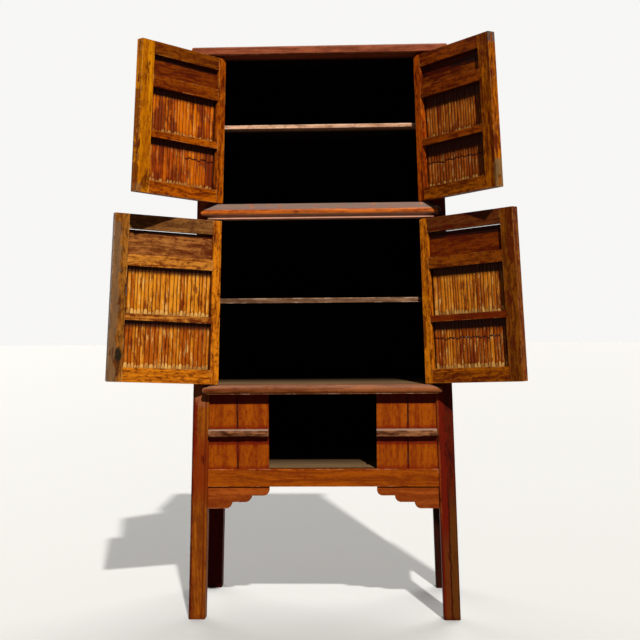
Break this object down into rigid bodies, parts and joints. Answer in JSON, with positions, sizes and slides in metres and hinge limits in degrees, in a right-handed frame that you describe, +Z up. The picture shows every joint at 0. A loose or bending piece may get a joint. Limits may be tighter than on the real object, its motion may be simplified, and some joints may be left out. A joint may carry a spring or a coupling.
{
  "type": "tall cabinet",
  "caption": "Tall splayed wooden kitchen cabinet with stacked pairs of pivot-hung bamboo-panelled doors, inner shelves and an open lower tier on plain square legs.",
  "frame": {"origin": "on the floor at the middle of the four feet", "axes": "+Z up, -Y towards someone facing the doors, +X to that person's right"},
  "size_m": [1.304, 0.7643, 1.85],
  "materials": {
    "carcass_wood": "worn red-brown lacquer",
    "door_wood": "worn amber oil finish",
    "panel_wood": "worn orange-brown lacquer",
    "bamboo": "aged split bamboo",
    "inner_wood": "dark smoke-stained wood"
  },
  "bodies": {
    "carcass": {"apron_rail": "carcass_wood", "back_panels": "inner_wood", "back_rails": "inner_wood", "batten_left": "panel_wood", "batten_right": "panel_wood", "lower_floor": "inner_wood", "lower_shelf": "inner_wood", "mid_ledge": "carcass_wood", "middle_floor": "inner_wood", "post_front_left": "carcass_wood", "post_front_right": "carcass_wood", "post_rear_left": "carcass_wood", "post_rear_right": "carcass_wood", "shelf_cleats": "inner_wood", "side_panels_left": "panel_wood", "side_panels_right": "panel_wood", "side_rails_left": "carcass_wood", "side_rails_right": "carcass_wood", "spandrel_left": "panel_wood", "spandrel_right": "panel_wood", "tier_panel_left": "panel_wood", "tier_panel_right": "panel_wood", "top_front": "carcass_wood", "top_left": "carcass_wood", "top_panel": "carcass_wood", "top_rear": "carcass_wood", "top_right": "carcass_wood", "upper_floor": "inner_wood", "upper_shelf": "inner_wood", "waist_rail": "carcass_wood"},
    "upper_left_door": {"upper_left_pivot_stile": "door_wood", "upper_left_meeting_stile": "door_wood", "upper_left_top_rail": "door_wood", "upper_left_bottom_rail": "door_wood", "upper_left_cross_rails": "door_wood", "upper_left_frieze_panel": "door_wood", "upper_left_bamboo": "bamboo"},
    "upper_right_door": {"upper_right_pivot_stile": "door_wood", "upper_right_meeting_stile": "door_wood", "upper_right_top_rail": "door_wood", "upper_right_bottom_rail": "door_wood", "upper_right_cross_rails": "door_wood", "upper_right_frieze_panel": "door_wood", "upper_right_bamboo": "bamboo"},
    "lower_left_door": {"lower_left_pivot_stile": "door_wood", "lower_left_meeting_stile": "door_wood", "lower_left_top_rail": "door_wood", "lower_left_bottom_rail": "door_wood", "lower_left_cross_rails": "door_wood", "lower_left_frieze_panel": "door_wood", "lower_left_bamboo": "bamboo"},
    "lower_right_door": {"lower_right_pivot_stile": "door_wood", "lower_right_meeting_stile": "door_wood", "lower_right_top_rail": "door_wood", "lower_right_bottom_rail": "door_wood", "lower_right_cross_rails": "door_wood", "lower_right_frieze_panel": "door_wood", "lower_right_bamboo": "bamboo"}
  },
  "joints": [
    {"name": "upper_left_swing", "type": "hinge", "parent": "carcass", "child": "upper_left_door", "pos_m": [-0.32608, -0.255, 1.583], "axis": [-0.0303, 0, -0.9995], "range_deg": [-132, 28]},
    {"name": "upper_right_swing", "type": "hinge", "parent": "carcass", "child": "upper_right_door", "pos_m": [0.32608, -0.255, 1.583], "axis": [-0.0303, 0, 0.9995], "range_deg": [-130, 30]},
    {"name": "lower_left_swing", "type": "hinge", "parent": "carcass", "child": "lower_left_door", "pos_m": [-0.34282, -0.255, 1.03], "axis": [-0.0303, 0, -0.9995], "range_deg": [-155, 17]},
    {"name": "lower_right_swing", "type": "hinge", "parent": "carcass", "child": "lower_right_door", "pos_m": [0.34282, -0.255, 1.03], "axis": [-0.0303, 0, 0.9995], "range_deg": [-141, 31]}
  ]
}
